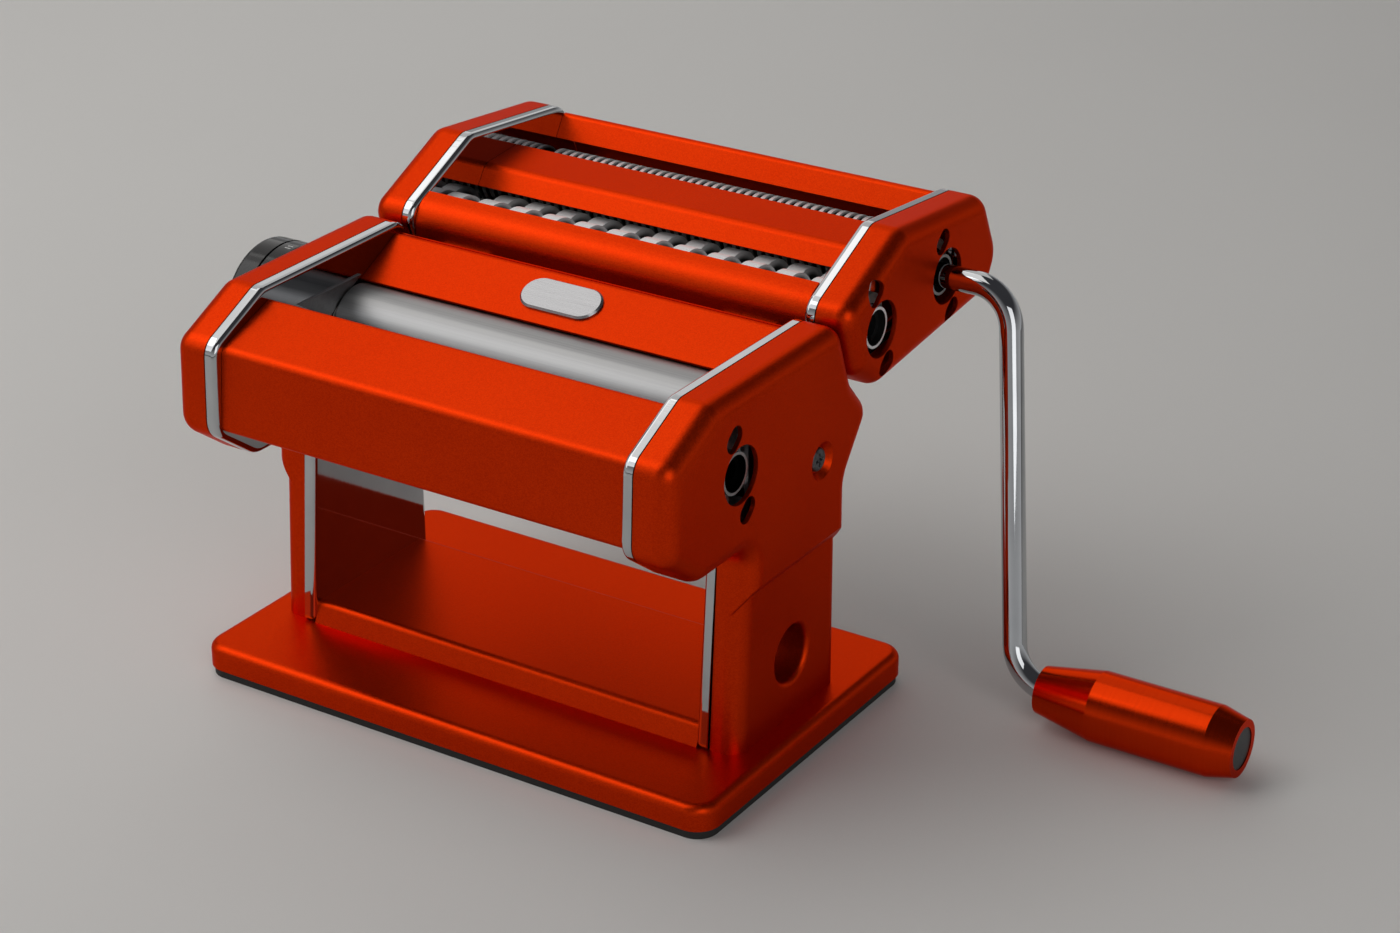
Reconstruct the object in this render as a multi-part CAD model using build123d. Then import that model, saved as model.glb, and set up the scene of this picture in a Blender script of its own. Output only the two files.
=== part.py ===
from build123d import *
import os
from math import atan2, cos, degrees, pi, radians, sin

# Hand-cranked pasta roller with a lift-off cutter unit. Millimetres, +Z up from the table.
# X runs along the rollers with the crank on +X, and Y runs from the feed front to the cutter.

# Base, whose length sets the width of everything between the end covers
BASE_LENGTH = 198.0
BASE_DEPTH = 124.0
BASE_CORNER = 8.0
BASE_EDGE = 3.0
BASE_TOP = 11.5
BASE_WALL = 1.5
BASE_MARGIN = 6.0           # base end beyond the head cover
SOLE_T = 3.0
SOLE_INSET = 0.8
HUMP_RISE = 7.0             # raised bridge between the columns
HUMP_FOOT = 31.0            # half depth of the bridge at its foot
HUMP_SHOULDER = 28.0        # half depth of the bridge at its top
HUMP_EDGE = 2.5

# Side plates and end covers
HEAD_DEPTH = 17.25          # inner face of a side plate to the head cover's face
PLATE_T = 1.0               # side plate sheet
RIM_W = 4.0                 # depth of the bright rim round each side plate
RIM_BEND = 1.8              # rounding where the rim turns out of the plate
COVER_GAP = 0.4             # shadow line between rim and end cover
COVER_T = 1.5               # end cover wall
COVER_EDGE = 6.0            # outer edge rounding of the covers
COLUMN_STEP = 3.0           # column face behind the head face
HEAD_DROP = 42.0            # roller axis down to the step between head and column
SHEET_T = 0.9               # bent panels between the side plates
SHEET_GAP = 0.1             # panel end to side plate
EDGE_BEND = 3.0             # bends of the panels

# Smooth rollers and the gap setting
ROLLER_R = 13.2
ROLLER_Z = 110.5
ROLLER_PLAY = 1.35          # roller end to side plate
KNOB_Y = -4.2               # setting axle
GAP_MAX = 4.8
GAP_MIN = 0.4
DRIVE_R = 6.75              # crank socket shaft
SOCKET_R = 4.06             # crank socket bore
SOCKET_DEPTH = 14.0
SOCKET_MOUTH_R = 5.8        # wide mouth of a crank socket
SOCKET_MOUTH = 2.5
SOCKET_SLOT = 2.9           # cross slot for the crank pin
SOCKET_SLOT_DEPTH = 3.0
SOCKET_RECESS = 2.0         # socket end behind the cover face
RUN = 0.05                  # radial running clearance
SEAT = 0.03                 # radial clearance of parts fixed together
BUSH_WALL = 2.2
BUSH_FLANGE = 1.2
BUSH_FLANGE_T = 1.45
NECK_R = 8.5                # hollow neck of the rear roller
FLOAT_WALL = 1.15           # floating bushes inside the rear roller
AXLE_R = 6.0                # eccentric part of the setting axle
AXLE_HEAD_R = 8.3           # left journal of the setting axle
AXLE_TIP_R = 3.7            # right journal of the setting axle
AXLE_SQUARE = 7.0           # knob end of the setting axle
FEED_CLEAR = 0.81           # feed plate edge to the rear roller
SCRAPER_CLEAR = 1.15        # middle of a scraper's edge to its roller
SCRAPER_RUN = 8.5           # slope of a scraper beside its tip
LAP = 3.5                   # scraper over its panel

# Roller gears, deep toothed so that they stay in mesh at every gap
GEAR_GAP = 2.75             # side plate inner face to gear
GEAR_W = 8.0
GEAR_ADD = 2.8              # tooth height above and below the roller radius
ROLLER_TEETH = 9
TOOTH_FOOT = 0.2424         # tooth widths as shares of the roller radius
TOOTH_TIP = 0.0909
BRACKET_GAP = 0.5           # gear face to bracket
BRACKET_T = 1.5
POST_R = 4.0

# Screws
SCREW_R = 1.5
SCREW_HEAD_R = 2.8
SCREW_HEAD_T = 1.8
SCREW_LENGTH = 7.0
COVER_SCREW_HEAD_R = 4.0
COVER_SCREW_HEAD_T = 1.3
DISH_R = 6.3                # dished seat of the cover screw
DISH_DEPTH = 2.2

# Knob
KNOB_R = 22.2
KNOB_GAP = 2.4              # knob behind the cover face
KNOB_DEPTH = 15.8
KNOB_WEB = 4.6
KNOB_WELL_R = 9.0
KNOB_EDGE = 1.6
KNOB_GROOVE = 0.5           # depth of the line round the knob
KNOB_GROOVE_W = 0.9
KNOB_CAP_T = 1.5
SPRING_R = 6.2
SPRING_WIRE = 0.6
SPRING_TURNS = 3
SPRING_LENGTH = 6.0
WASHER_T = 1.0
PIN_R = 1.5
PIN_CIRCLE = 15.0
PIN_CLEAR = 0.3
DIAL_T = 2.2
DIAL_R = 18.5
SETTINGS = 10

# Clamp holes in the columns
CLAMP_R = 9.6
CLAMP_Y = 2.7
CLAMP_Z = 33.2
CLAMP_COLLAR = 1.2
CLAMP_EDGE = 1.8            # rolled rim of the hole

# Cutter unit
REAR_PANEL_Y = 24.0         # back wall of the head, which the cutter hangs on
NOSE_GAP = 8.2              # cutter front plate behind the rear panel
WIDE_SETBACK = 17.1         # wide cutter axis behind the front plate
WIDE_RISE = 17.3            # wide cutter axis above the rollers
WIDE_R = 11.5
WIDE_CORE = 7.5
WIDE_OVERLAP = 3.5
WIDE_SLOTS = 23
PAIR_GAP = 2.15             # wide idler to narrow driven roll
NARROW_RISE = 3.5           # narrow cutter axis above the wide one
NARROW_R = 10.0
NARROW_CORE = 8.2
NARROW_OVERLAP = 0.9
NARROW_SLOTS = 91
WIDE_TILT = -17.0           # slope of each cutter pair, falling to the back
NARROW_TILT = -13.0
RING_CLEAR = 0.1            # side clearance between neighbouring rings
IDLER_R = 4.5
CUTTER_TEETH = 16
COMB_T = 1.2
COMB_CLEAR = 0.5
COMB_BAR = 4.0
COMB_TOOTH = 0.55           # tooth width as a share of its groove
HOOK_INSET = 20.75          # hook middle from the side plate
HOOK_W = 12.0
HOOK_SHOULDER = 4.0
HOOK_T = 1.5
HOOK_TAIL = 2.0             # hook below its hanger
HOOK_RISE = 5.2             # hook above its hanger
HOOK_CLEAR = 0.3
HANGER_DROP = 3.8           # hanger top below the wide cutter axis
HANGER_HEIGHT = 12.0
HANGER_WALL = 2.0
ROD_R = 3.0
CUTTER_ROD_R = 2.5

# Crank
CRANK_R = 4.0
CRANK_REACH = 23.0          # cover face to the crank's upper bend
CRANK_LEAN = 24.0           # how far the arm leans out on its way down
CRANK_BEND = 15.0
GRIP_Y = 59.5
GRIP_Z = 11.75
GRIP_GAP = 10.0             # lower bend to the grip
GRIP_LENGTH = 69.0
GRIP_R = 11.7
GRIP_NECK_R = 7.9
GRIP_TAIL_R = 9.5
GRIP_CONE = 20.0
GRIP_TAIL = 9.0
GRIP_WELL_R = 7.0
GRIP_WELL = 5.0
GRIP_CAP_T = 2.2
CRANK_HEAD_R = 5.5
CRANK_HEAD_T = 2.0
CRANK_PIN_R = 1.25
CRANK_PIN_LENGTH = 11.0

# Places along X that follow from the sizes above
HEAD_FACE = BASE_LENGTH / 2 - BASE_MARGIN
COLUMN_FACE = HEAD_FACE - COLUMN_STEP
PLATE_IN = HEAD_FACE - HEAD_DEPTH
PLATE_OUT = PLATE_IN + PLATE_T
RIM_FACE = PLATE_IN + RIM_W
COVER_START = RIM_FACE + COVER_GAP
COVER_IN = HEAD_FACE - COVER_T
DISH_FLOOR = HEAD_FACE - DISH_DEPTH
ROLLER_HALF = PLATE_IN - ROLLER_PLAY
SHEET_HALF = PLATE_IN - SHEET_GAP
SOCKET_END = HEAD_FACE - SOCKET_RECESS
MOUTH_FLOOR = SOCKET_END - SOCKET_MOUTH
GEAR_X = PLATE_IN + GEAR_GAP
GEAR_END = GEAR_X + GEAR_W
BRACKET_X = GEAR_END + BRACKET_GAP
NECK_END = GEAR_END
KNOB_BACK = HEAD_FACE + KNOB_GAP
KNOB_FRONT = KNOB_BACK + KNOB_DEPTH
WELL_FLOOR = KNOB_BACK + KNOB_WEB
AXLE_END = WELL_FLOOR + SPRING_LENGTH
HOOK_X = PLATE_IN - HOOK_INSET
CRANK_TOP_X = HEAD_FACE + CRANK_REACH
CRANK_FOOT_X = CRANK_TOP_X + CRANK_LEAN
GRIP_START = CRANK_FOOT_X + GRIP_GAP
GRIP_END = GRIP_START + GRIP_LENGTH


def beside(y, z, step, tilt):
    """Axis a step away from another, along a slope in degrees."""
    return y + step * cos(radians(tilt)), z + step * sin(radians(tilt))


# Radii and axes that follow
ECC = (GAP_MAX - GAP_MIN) / 2
REAR_Y = KNOB_Y + ECC
FRONT_Y = REAR_Y - 2 * ROLLER_R - GAP_MAX
ROLLER_GEAR_TIP = ROLLER_R + GEAR_ADD
ROLLER_GEAR_ROOT = ROLLER_R - GEAR_ADD
FLOAT_R = AXLE_R + RUN + FLOAT_WALL
HUMP_TOP = BASE_TOP + HUMP_RISE
STEP_Z = ROLLER_Z - HEAD_DROP
DRIVE_BUSH_R = DRIVE_R + RUN + BUSH_WALL
IDLER_BUSH_R = IDLER_R + RUN + BUSH_WALL
AXLE_BUSH_R = AXLE_HEAD_R + RUN + BUSH_WALL
WIDE_STEP = 2 * WIDE_R - WIDE_OVERLAP
NARROW_STEP = 2 * NARROW_R - NARROW_OVERLAP
NOSE_Y = REAR_PANEL_Y + NOSE_GAP
NOSE_FACE = NOSE_Y - SHEET_T / 2
REAR_PANEL_BACK = REAR_PANEL_Y + SHEET_T / 2
WIDE_Y = NOSE_Y + WIDE_SETBACK
WIDE_Z = ROLLER_Z + WIDE_RISE
WIDE_IDLER = beside(WIDE_Y, WIDE_Z, WIDE_STEP, WIDE_TILT)
NARROW_Y = WIDE_IDLER[0] + WIDE_R + NARROW_R + PAIR_GAP
NARROW_Z = WIDE_Z + NARROW_RISE
NARROW_IDLER = beside(NARROW_Y, NARROW_Z, NARROW_STEP, NARROW_TILT)
HANGER_TOP = WIDE_Z - HANGER_DROP
HANGER_BOTTOM = HANGER_TOP - HANGER_HEIGHT
HOOK_BOTTOM = HANGER_BOTTOM - HOOK_TAIL
COVER_SCREW = (REAR_PANEL_Y - 9.9, ROLLER_Z - 14.1)


def from_axis(places, y, z):
    """Places given from an axis, as places from the table; a corner radius stays as it is."""
    return [(y + p[0], z + p[1], *p[2:]) for p in places]


def round_roller(y, z, angle, gap):
    """Point outside a smooth roller at an angle round it."""
    reach = ROLLER_R + gap
    return y + reach * cos(radians(angle)), z + reach * sin(radians(angle))


# Outlines in the YZ plane as (y, z, corner radius)
COLUMN_FRONT = -31.5
COLUMN_BACK = 31.5
COLUMN_CORNER = 2.0
COLUMN_HEEL = 4.0           # lower back corner
STEP_RUN = 4.0              # height of the sloping step from head to column
STEP_EDGE = 0.5
HEAD_FRONT = from_axis([(-25.5, -28, 7), (-54, -28, 9), (-72, -14.5, 8), (-70.6, 14.8, 7), (-46.1, 26.7, 7)],
                       0, ROLLER_Z)
HEAD_BACK = from_axis([(2, 26.7, 7), (10, 5, 8), (21, -7.5, 7), (7, -26.5, 10)], REAR_PANEL_Y, ROLLER_Z)
HEAD_UPPER = HEAD_FRONT + HEAD_BACK
CUTTER_OUTLINE = from_axis([(-21.1, 10.4, 7), (15.3, 27.6, 7)], WIDE_Y, WIDE_Z)
CUTTER_OUTLINE += from_axis([(27.4, 19, 8), (37.9, -3.3, 12), (30.4, -16.3, 7)], NARROW_Y, NARROW_Z)
CUTTER_OUTLINE += from_axis([(0.7, -20.3, 7), (-12.9, -11.8, 7)], WIDE_Y, WIDE_Z)
EARS = ((-3.7, 12.9), (3.7, -12.9))     # bayonet slots beside each socket
EAR_LENGTH = 9.0
EAR_WIDTH = 6.6
EAR_LEAN = 42.0             # slope of the slots, rising to the back
COVER_HOLE_R = 9.4

# Bent panels as (y, z) sheet centre lines
PANEL_LINE = from_axis([(-60, -13.9), (-69.3, -13.9), (-66.9, 13.1), (-43.2, 22), (-42.6, 19.1)], 0, ROLLER_Z)
FEED_LINE = [round_roller(REAR_Y, ROLLER_Z, 73, FEED_CLEAR)]
FEED_LINE += from_axis([(-1.4, 23.6), (-SHEET_T, 15.5)], REAR_PANEL_Y, ROLLER_Z)
REAR_LINE = from_axis([(-5.5, -20.5), (0, -20.5), (0, 22.5)], REAR_PANEL_Y, ROLLER_Z)
NOSE_LINE = from_axis([(-WIDE_SETBACK, -3.2), (-WIDE_SETBACK, 10.9), (-9.1, 14.6)], WIDE_Y, WIDE_Z)
NOSE_BEND = 9.0
DIVIDER_LINE = from_axis([(18.2, 8.3), (22.7, 14.6), (40.7, 16.2)], WIDE_Y, WIDE_Z)
BACK_LINE = from_axis([(22.4, 8.4), (28, 17.5), (36.2, -3.3), (29.6, -14.1)], NARROW_Y, NARROW_Z)
RODS = from_axis([(-6.5, 7.5), (-5.5, -8)], REAR_PANEL_Y, ROLLER_Z) + [(-58, ROLLER_Z + 1.5)]
CUTTER_RODS = from_axis([(-13.2, 7.6), (27.5, 11.2)], WIDE_Y, WIDE_Z)
BRACKET_POSTS = from_axis([(-13.3, 20.5), (-13.3, -20.5), (24.2, 0)], KNOB_Y, ROLLER_Z)
BASE_SCREWS = [(-14, 16.2), (14, 16.2)]
GUARD = from_axis([(-30, 15.5), (1.5, 15.5), (-15.5, 6.5)], 0, ROLLER_Z)
GUARD_T = 0.8
PLAQUE_LENGTH = 30.0
PLAQUE_WIDTH = 13.0
PLAQUE_T = 1.2
PLAQUE_X = -2.5

head_outline = [(COLUMN_FRONT, BASE_TOP, COLUMN_CORNER)] + HEAD_UPPER + [(COLUMN_BACK, BASE_TOP, COLUMN_HEEL)]


def outline(corners):
    """Closed face from (y, z, radius) corners."""
    path = FilletPolyline(*[(y, z) for y, z, _ in corners], radius=[r for _, _, r in corners], close=True)
    return make_face(path)


def slab(face, x0, x1):
    """Face in the YZ plane carried from x0 to x1."""
    return extrude(Plane.YZ.offset(x0) * face, amount=x1 - x0)


def rod(y, z, radius, x0, x1):
    """Round bar along X."""
    bar = Cylinder(radius, x1 - x0, align=(Align.CENTER, Align.CENTER, Align.MIN))
    return Pos(x0, y, z) * Rot(0, 90, 0) * bar


def tube(y, z, r_out, r_in, x0, x1):
    """Round sleeve along X."""
    return rod(y, z, r_out, x0, x1) - rod(y, z, r_in, x0 - 1, x1 + 1)


def spun(profile, y, z):
    """Turned part about an axis along X, from (x, r) points."""
    face = make_face(Polyline(*profile, close=True))
    return Pos(0, y, z) * revolve(face, Axis.X)


def sheet(points, bends, half, thickness=SHEET_T):
    """Bent sheet along a centre line, spanning both sides of the middle."""
    return slab(trace(FilletPolyline(*points, radius=bends), thickness), -half, half)


def flip(shape):
    """The same piece on the other side."""
    return mirror(shape, about=Plane.YZ)


def group(shapes):
    """Separate solids in one node."""
    return Compound(children=[s.solid() for s in shapes])


# Base
def base_pan():
    body = extrude(RectangleRounded(BASE_LENGTH, BASE_DEPTH, BASE_CORNER), BASE_TOP - SOLE_T)
    body = Pos(0, 0, SOLE_T) * fillet(body.faces().sort_by(Axis.Z)[-1].edges(), BASE_EDGE)
    inner = RectangleRounded(BASE_LENGTH - 2 * BASE_WALL, BASE_DEPTH - 2 * BASE_WALL, BASE_CORNER - BASE_WALL)
    well = extrude(inner, BASE_TOP - SOLE_T - BASE_WALL)
    well = Pos(0, 0, SOLE_T) * fillet(well.faces().sort_by(Axis.Z)[-1].edges(), BASE_EDGE - BASE_WALL)
    bridge = hump(HUMP_FOOT, HUMP_SHOULDER, BASE_TOP - BASE_WALL, HUMP_TOP, PLATE_IN, HUMP_EDGE)
    hollow = hump(HUMP_FOOT - BASE_WALL, HUMP_SHOULDER - BASE_WALL, SOLE_T, HUMP_TOP - BASE_WALL,
                  PLATE_IN - BASE_WALL, HUMP_EDGE - BASE_WALL)
    pan = body + bridge - well - hollow
    for y, z in BASE_SCREWS:
        pan -= rod(y, z, SCREW_R + SEAT, -BASE_LENGTH, BASE_LENGTH)
    return pan


def hump(foot, shoulder, z0, z1, half, edge):
    """Ridge along X with sloping front and back and rounded shoulders."""
    slope = (foot - shoulder) / HUMP_RISE
    low = shoulder + slope * (z1 - z0)
    ridge = slab(make_face(Polyline((-low, z0), (-shoulder, z1), (shoulder, z1), (low, z0), close=True)), -half, half)
    shoulders = ridge.edges().filter_by(Axis.X).filter_by_position(Axis.Z, z1, z1)
    return fillet(shoulders, edge)


def base_sole():
    return extrude(RectangleRounded(BASE_LENGTH - 2 * SOLE_INSET, BASE_DEPTH - 2 * SOLE_INSET,
                                    BASE_CORNER - SOLE_INSET), SOLE_T)


# Side plates and end covers, made for the right
def tray(corners, holes):
    """Pressed plate with an outward rim; holes are (y, z, radius)."""
    face = outline(corners)
    pressing = slab(face, PLATE_IN, RIM_FACE)
    pressing = fillet(pressing.edges().filter_by_position(Axis.X, PLATE_IN, PLATE_IN), RIM_BEND)
    pocket = slab(offset(face, -PLATE_T), PLATE_OUT, RIM_FACE + 1)
    pressing -= fillet(pocket.edges().filter_by_position(Axis.X, PLATE_OUT, PLATE_OUT), RIM_BEND - PLATE_T)
    for y, z, r in holes:
        pressing -= rod(y, z, r, PLATE_IN - 1, PLATE_OUT + 1)
    return pressing


def domed(face, x0, x1, edge):
    """Face carried to x1 with its outer edge rounded."""
    block = slab(face, x0, x1)
    return fillet(block.edges().filter_by_position(Axis.X, x1, x1), edge)


def shell(face, x1):
    """Hollow cap open towards the side plate."""
    outer = domed(face, COVER_START, x1, COVER_EDGE)
    return outer, domed(offset(face, -COVER_T), COVER_START - 1, x1 - COVER_T, COVER_EDGE - COVER_T)


def socket_holes(cover, y, z):
    """Round socket hole with its two bayonet slots."""
    cover -= rod(y, z, COVER_HOLE_R, COVER_START, HEAD_FACE + 1)
    for dy, dz in EARS:
        slot = Rot(0, 0, EAR_LEAN) * SlotOverall(EAR_LENGTH, EAR_WIDTH)
        cover -= slab(Pos(y + dy, z + dz) * slot, COVER_START, HEAD_FACE + 1)
    return cover


def under_step(z):
    """Everything below the slope that steps in from head to column; z is its height at the head face."""
    slope = STEP_RUN / COLUMN_STEP
    back = COVER_START - 2
    front = HEAD_FACE + 1
    rise = (front - HEAD_FACE) * slope
    fall = (HEAD_FACE - back) * slope
    face = make_face(Polyline((front, z + rise), (back, z - fall), (back, -HEAD_FACE), (front, -HEAD_FACE), close=True))
    return extrude(Plane.XZ * face, amount=2 * HEAD_FACE, both=True)


def column_heel():
    """What the rounded lower back corner of the column takes away."""
    x0, x1 = COVER_START - 1, COLUMN_FACE + 1
    corner = slab(Pos(COLUMN_BACK, BASE_TOP) * Rectangle(2 * COLUMN_HEEL, 2 * COLUMN_HEEL), x0, x1)
    return corner - rod(COLUMN_BACK - COLUMN_HEEL, BASE_TOP + COLUMN_HEEL, COLUMN_HEEL, x0, x1)


def end_cover():
    """Head and column in one pressing, the column set back by a sloping step."""
    deep = -BASE_TOP
    corners = [(COLUMN_FRONT, deep, COLUMN_CORNER)] + HEAD_UPPER + [(COLUMN_BACK, deep, COLUMN_CORNER)]
    face = outline(corners)
    low = STEP_Z - STEP_RUN - 2 * COVER_EDGE
    above = Pos(0, low + HEAD_FACE) * Rectangle(4 * HEAD_FACE, 2 * HEAD_FACE)
    outer, inner = shell(face, COLUMN_FACE)
    head_outer, head_inner = shell(face & above, HEAD_FACE)
    outer += head_outer - under_step(STEP_Z)
    ridges = outer.edges().filter_by(Axis.Y)
    ridges = ridges.filter_by_position(Axis.X, COLUMN_FACE - STEP_EDGE, HEAD_FACE + STEP_EDGE)
    ridges = ridges.filter_by_position(Axis.Z, STEP_Z - STEP_RUN - STEP_EDGE, STEP_Z + STEP_EDGE)
    cover = fillet(ridges, STEP_EDGE) - inner - (head_inner - under_step(STEP_Z + 2 * COVER_T))
    cover += rod(CLAMP_Y, CLAMP_Z, CLAMP_R + CLAMP_COLLAR, COVER_START - 1, COLUMN_FACE)
    cover -= rod(CLAMP_Y, CLAMP_Z, CLAMP_R, COVER_START - 2, COLUMN_FACE + 1)
    mouth = cover.edges().filter_by(GeomType.CIRCLE).filter_by(lambda edge: abs(edge.radius - CLAMP_R) < SEAT)
    cover = fillet(mouth.sort_by(Axis.X)[-1], CLAMP_EDGE)
    cover -= Pos(0, 0, BASE_TOP - HEAD_FACE) * Box(4 * HEAD_FACE, 4 * HEAD_FACE, 2 * HEAD_FACE)
    cover -= column_heel()
    cover += rod(*COVER_SCREW, DISH_R + COVER_T, DISH_FLOOR - COVER_T, HEAD_FACE - COVER_T / 2)
    dish = [(DISH_FLOOR, 0), (DISH_FLOOR, COVER_SCREW_HEAD_R + PIN_CLEAR), (HEAD_FACE, DISH_R), (HEAD_FACE + 1, DISH_R),
            (HEAD_FACE + 1, 0)]
    cover -= spun(dish, *COVER_SCREW)
    return cover - rod(*COVER_SCREW, SCREW_R + SEAT, COVER_START, HEAD_FACE + 1)


def cutter_cover():
    outer, inner = shell(outline(CUTTER_OUTLINE), HEAD_FACE)
    return outer - inner


HEAD_HOLES = [(y, z, SCREW_R + SEAT) for y, z in RODS + BASE_SCREWS]
CUTTER_HOLES = [(y, z, SCREW_R + SEAT) for y, z in CUTTER_RODS]
CUTTER_HOLES += [(*WIDE_IDLER, IDLER_BUSH_R + SEAT), (*NARROW_IDLER, IDLER_BUSH_R + SEAT)]


def side_plate_right():
    neck_hole = NECK_R + ECC + PIN_CLEAR
    holes = HEAD_HOLES + [(FRONT_Y, ROLLER_Z, DRIVE_BUSH_R + SEAT), (KNOB_Y, ROLLER_Z, neck_hole)]
    return tray(head_outline, holes)


def side_plate_left():
    holes = HEAD_HOLES + [(FRONT_Y, ROLLER_Z, DRIVE_BUSH_R + SEAT), (KNOB_Y, ROLLER_Z, AXLE_BUSH_R + SEAT)]
    return flip(tray(head_outline, holes))


def cutter_plate(drive_bush_r):
    holes = [(WIDE_Y, WIDE_Z, drive_bush_r + SEAT), (NARROW_Y, NARROW_Z, drive_bush_r + SEAT)]
    return tray(CUTTER_OUTLINE, CUTTER_HOLES + holes)


def bush(y, z, shaft_r, x_sign=1):
    """Flanged bush set in the side plate from outside."""
    r_in = shaft_r + RUN
    r_out = r_in + BUSH_WALL
    flange = tube(y, z, r_out + BUSH_FLANGE, r_in, PLATE_OUT, PLATE_OUT + BUSH_FLANGE_T)
    sleeve = tube(y, z, r_out, r_in, PLATE_IN, PLATE_OUT + BUSH_FLANGE_T) + flange
    return sleeve if x_sign > 0 else flip(sleeve)


def screw(y, z, x_sign=1, face=PLATE_OUT):
    """Pan screw whose head bears on a face square to X."""
    shank = rod(y, z, SCREW_R, face - SCREW_LENGTH, face)
    pan = shank + rod(y, z, SCREW_HEAD_R, face, face + SCREW_HEAD_T)
    return pan if x_sign > 0 else flip(pan)


def tie_rod(y, z, radius):
    """Spacer rod tapped at both ends."""
    depth = SCREW_LENGTH - PLATE_T + COVER_GAP
    bar = rod(y, z, radius, -PLATE_IN, PLATE_IN)
    bar -= rod(y, z, SCREW_R + SEAT, PLATE_IN - depth, PLATE_IN + 1)
    return bar - rod(y, z, SCREW_R + SEAT, -PLATE_IN - 1, depth - PLATE_IN)


# Rollers and their gears
def driven_end(shaft, y, z):
    """Bore of a crank socket, with a wide mouth and a cross slot in the mouth's floor."""
    shaft -= rod(y, z, SOCKET_R, SOCKET_END - SOCKET_DEPTH, SOCKET_END + 1)
    shaft -= rod(y, z, SOCKET_MOUTH_R, MOUTH_FLOOR, SOCKET_END + 1)
    slot = Pos(MOUTH_FLOOR, y, z) * Box(2 * SOCKET_SLOT_DEPTH, SOCKET_SLOT, 3 * DRIVE_R)
    return shaft - (slot & rod(y, z, SOCKET_MOUTH_R, MOUTH_FLOOR - SOCKET_SLOT_DEPTH, SOCKET_END))


def front_roller():
    left = PLATE_OUT + 2 * BUSH_FLANGE_T
    profile = [(-left, 0), (-left, DRIVE_R), (-ROLLER_HALF, DRIVE_R), (-ROLLER_HALF, ROLLER_R),
               (ROLLER_HALF, ROLLER_R), (ROLLER_HALF, DRIVE_R), (SOCKET_END, DRIVE_R), (SOCKET_END, 0)]
    return driven_end(spun(profile, FRONT_Y, ROLLER_Z), FRONT_Y, ROLLER_Z)


def rear_roller():
    bore = FLOAT_R + RUN
    profile = [(-ROLLER_HALF, bore), (-ROLLER_HALF, ROLLER_R), (ROLLER_HALF, ROLLER_R), (ROLLER_HALF, NECK_R),
               (NECK_END, NECK_R), (NECK_END, bore)]
    return spun(profile, REAR_Y, ROLLER_Z)


def rear_roller_bushes():
    length = 2 * FLOAT_R
    right = tube(REAR_Y, ROLLER_Z, FLOAT_R, AXLE_R + RUN, NECK_END - length, NECK_END)
    left = tube(REAR_Y, ROLLER_Z, FLOAT_R, AXLE_R + RUN, -ROLLER_HALF, length - ROLLER_HALF)
    return group([right, left])


def toothed(teeth, root, tip, foot_w, tip_w, phase):
    """Gear outline: a root circle with straight-sided teeth, the first at the phase angle."""
    inside = root - foot_w / 2
    tooth = make_face(Polyline((inside, -foot_w / 2), (root, -foot_w / 2), (tip, -tip_w / 2),
                               (tip, tip_w / 2), (root, foot_w / 2), (inside, foot_w / 2), close=True))
    face = Circle(root)
    for i in range(teeth):
        face += Rot(0, 0, phase + 360 * i / teeth) * tooth
    return face


def roller_gear(y, bore):
    face = toothed(ROLLER_TEETH, ROLLER_GEAR_ROOT, ROLLER_GEAR_TIP, TOOTH_FOOT * ROLLER_R, TOOTH_TIP * ROLLER_R, 0)
    return slab(Pos(y, ROLLER_Z) * (face - Circle(bore + SEAT)), GEAR_X, GEAR_END)


def gear_bracket():
    corners = [Pos(y, z) * Circle(POST_R + 0.5) for y, z in BRACKET_POSTS]
    plate = make_hull(Sketch(children=corners).edges())
    for y, z in BRACKET_POSTS:
        plate -= Pos(y, z) * Circle(SCREW_R + SEAT)
    plate -= Pos(KNOB_Y, ROLLER_Z) * Circle(AXLE_TIP_R + RUN)
    return slab(plate, BRACKET_X, BRACKET_X + BRACKET_T)


def bracket_posts():
    return group([tube(y, z, POST_R, SCREW_R + SEAT, PLATE_OUT, BRACKET_X) for y, z in BRACKET_POSTS])


# Gap setting
def gap_axle():
    """Eccentric rod with journals on the knob axis and a square end for the knob."""
    right_tip = BRACKET_X + BRACKET_T + COVER_GAP
    axle = rod(REAR_Y, ROLLER_Z, AXLE_R, -PLATE_IN, NECK_END + BRACKET_GAP / 2)
    axle += rod(KNOB_Y, ROLLER_Z, AXLE_TIP_R, NECK_END, right_tip)
    axle += rod(KNOB_Y, ROLLER_Z, AXLE_HEAD_R, 1 - HEAD_FACE, -PLATE_IN)
    square = Box(AXLE_END - HEAD_FACE + 1, AXLE_SQUARE, AXLE_SQUARE, align=(Align.MAX, Align.CENTER, Align.CENTER))
    axle += Pos(1 - HEAD_FACE, KNOB_Y, ROLLER_Z) * square
    return axle - rod(KNOB_Y, ROLLER_Z, SCREW_R + SEAT, -AXLE_END - 1, SCREW_LENGTH + COVER_GAP - AXLE_END)


def knob_retaining_screw():
    washer = rod(KNOB_Y, ROLLER_Z, KNOB_WELL_R - WASHER_T, AXLE_END, AXLE_END + WASHER_T)
    return flip(washer + screw(KNOB_Y, ROLLER_Z, 1, AXLE_END))


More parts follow.
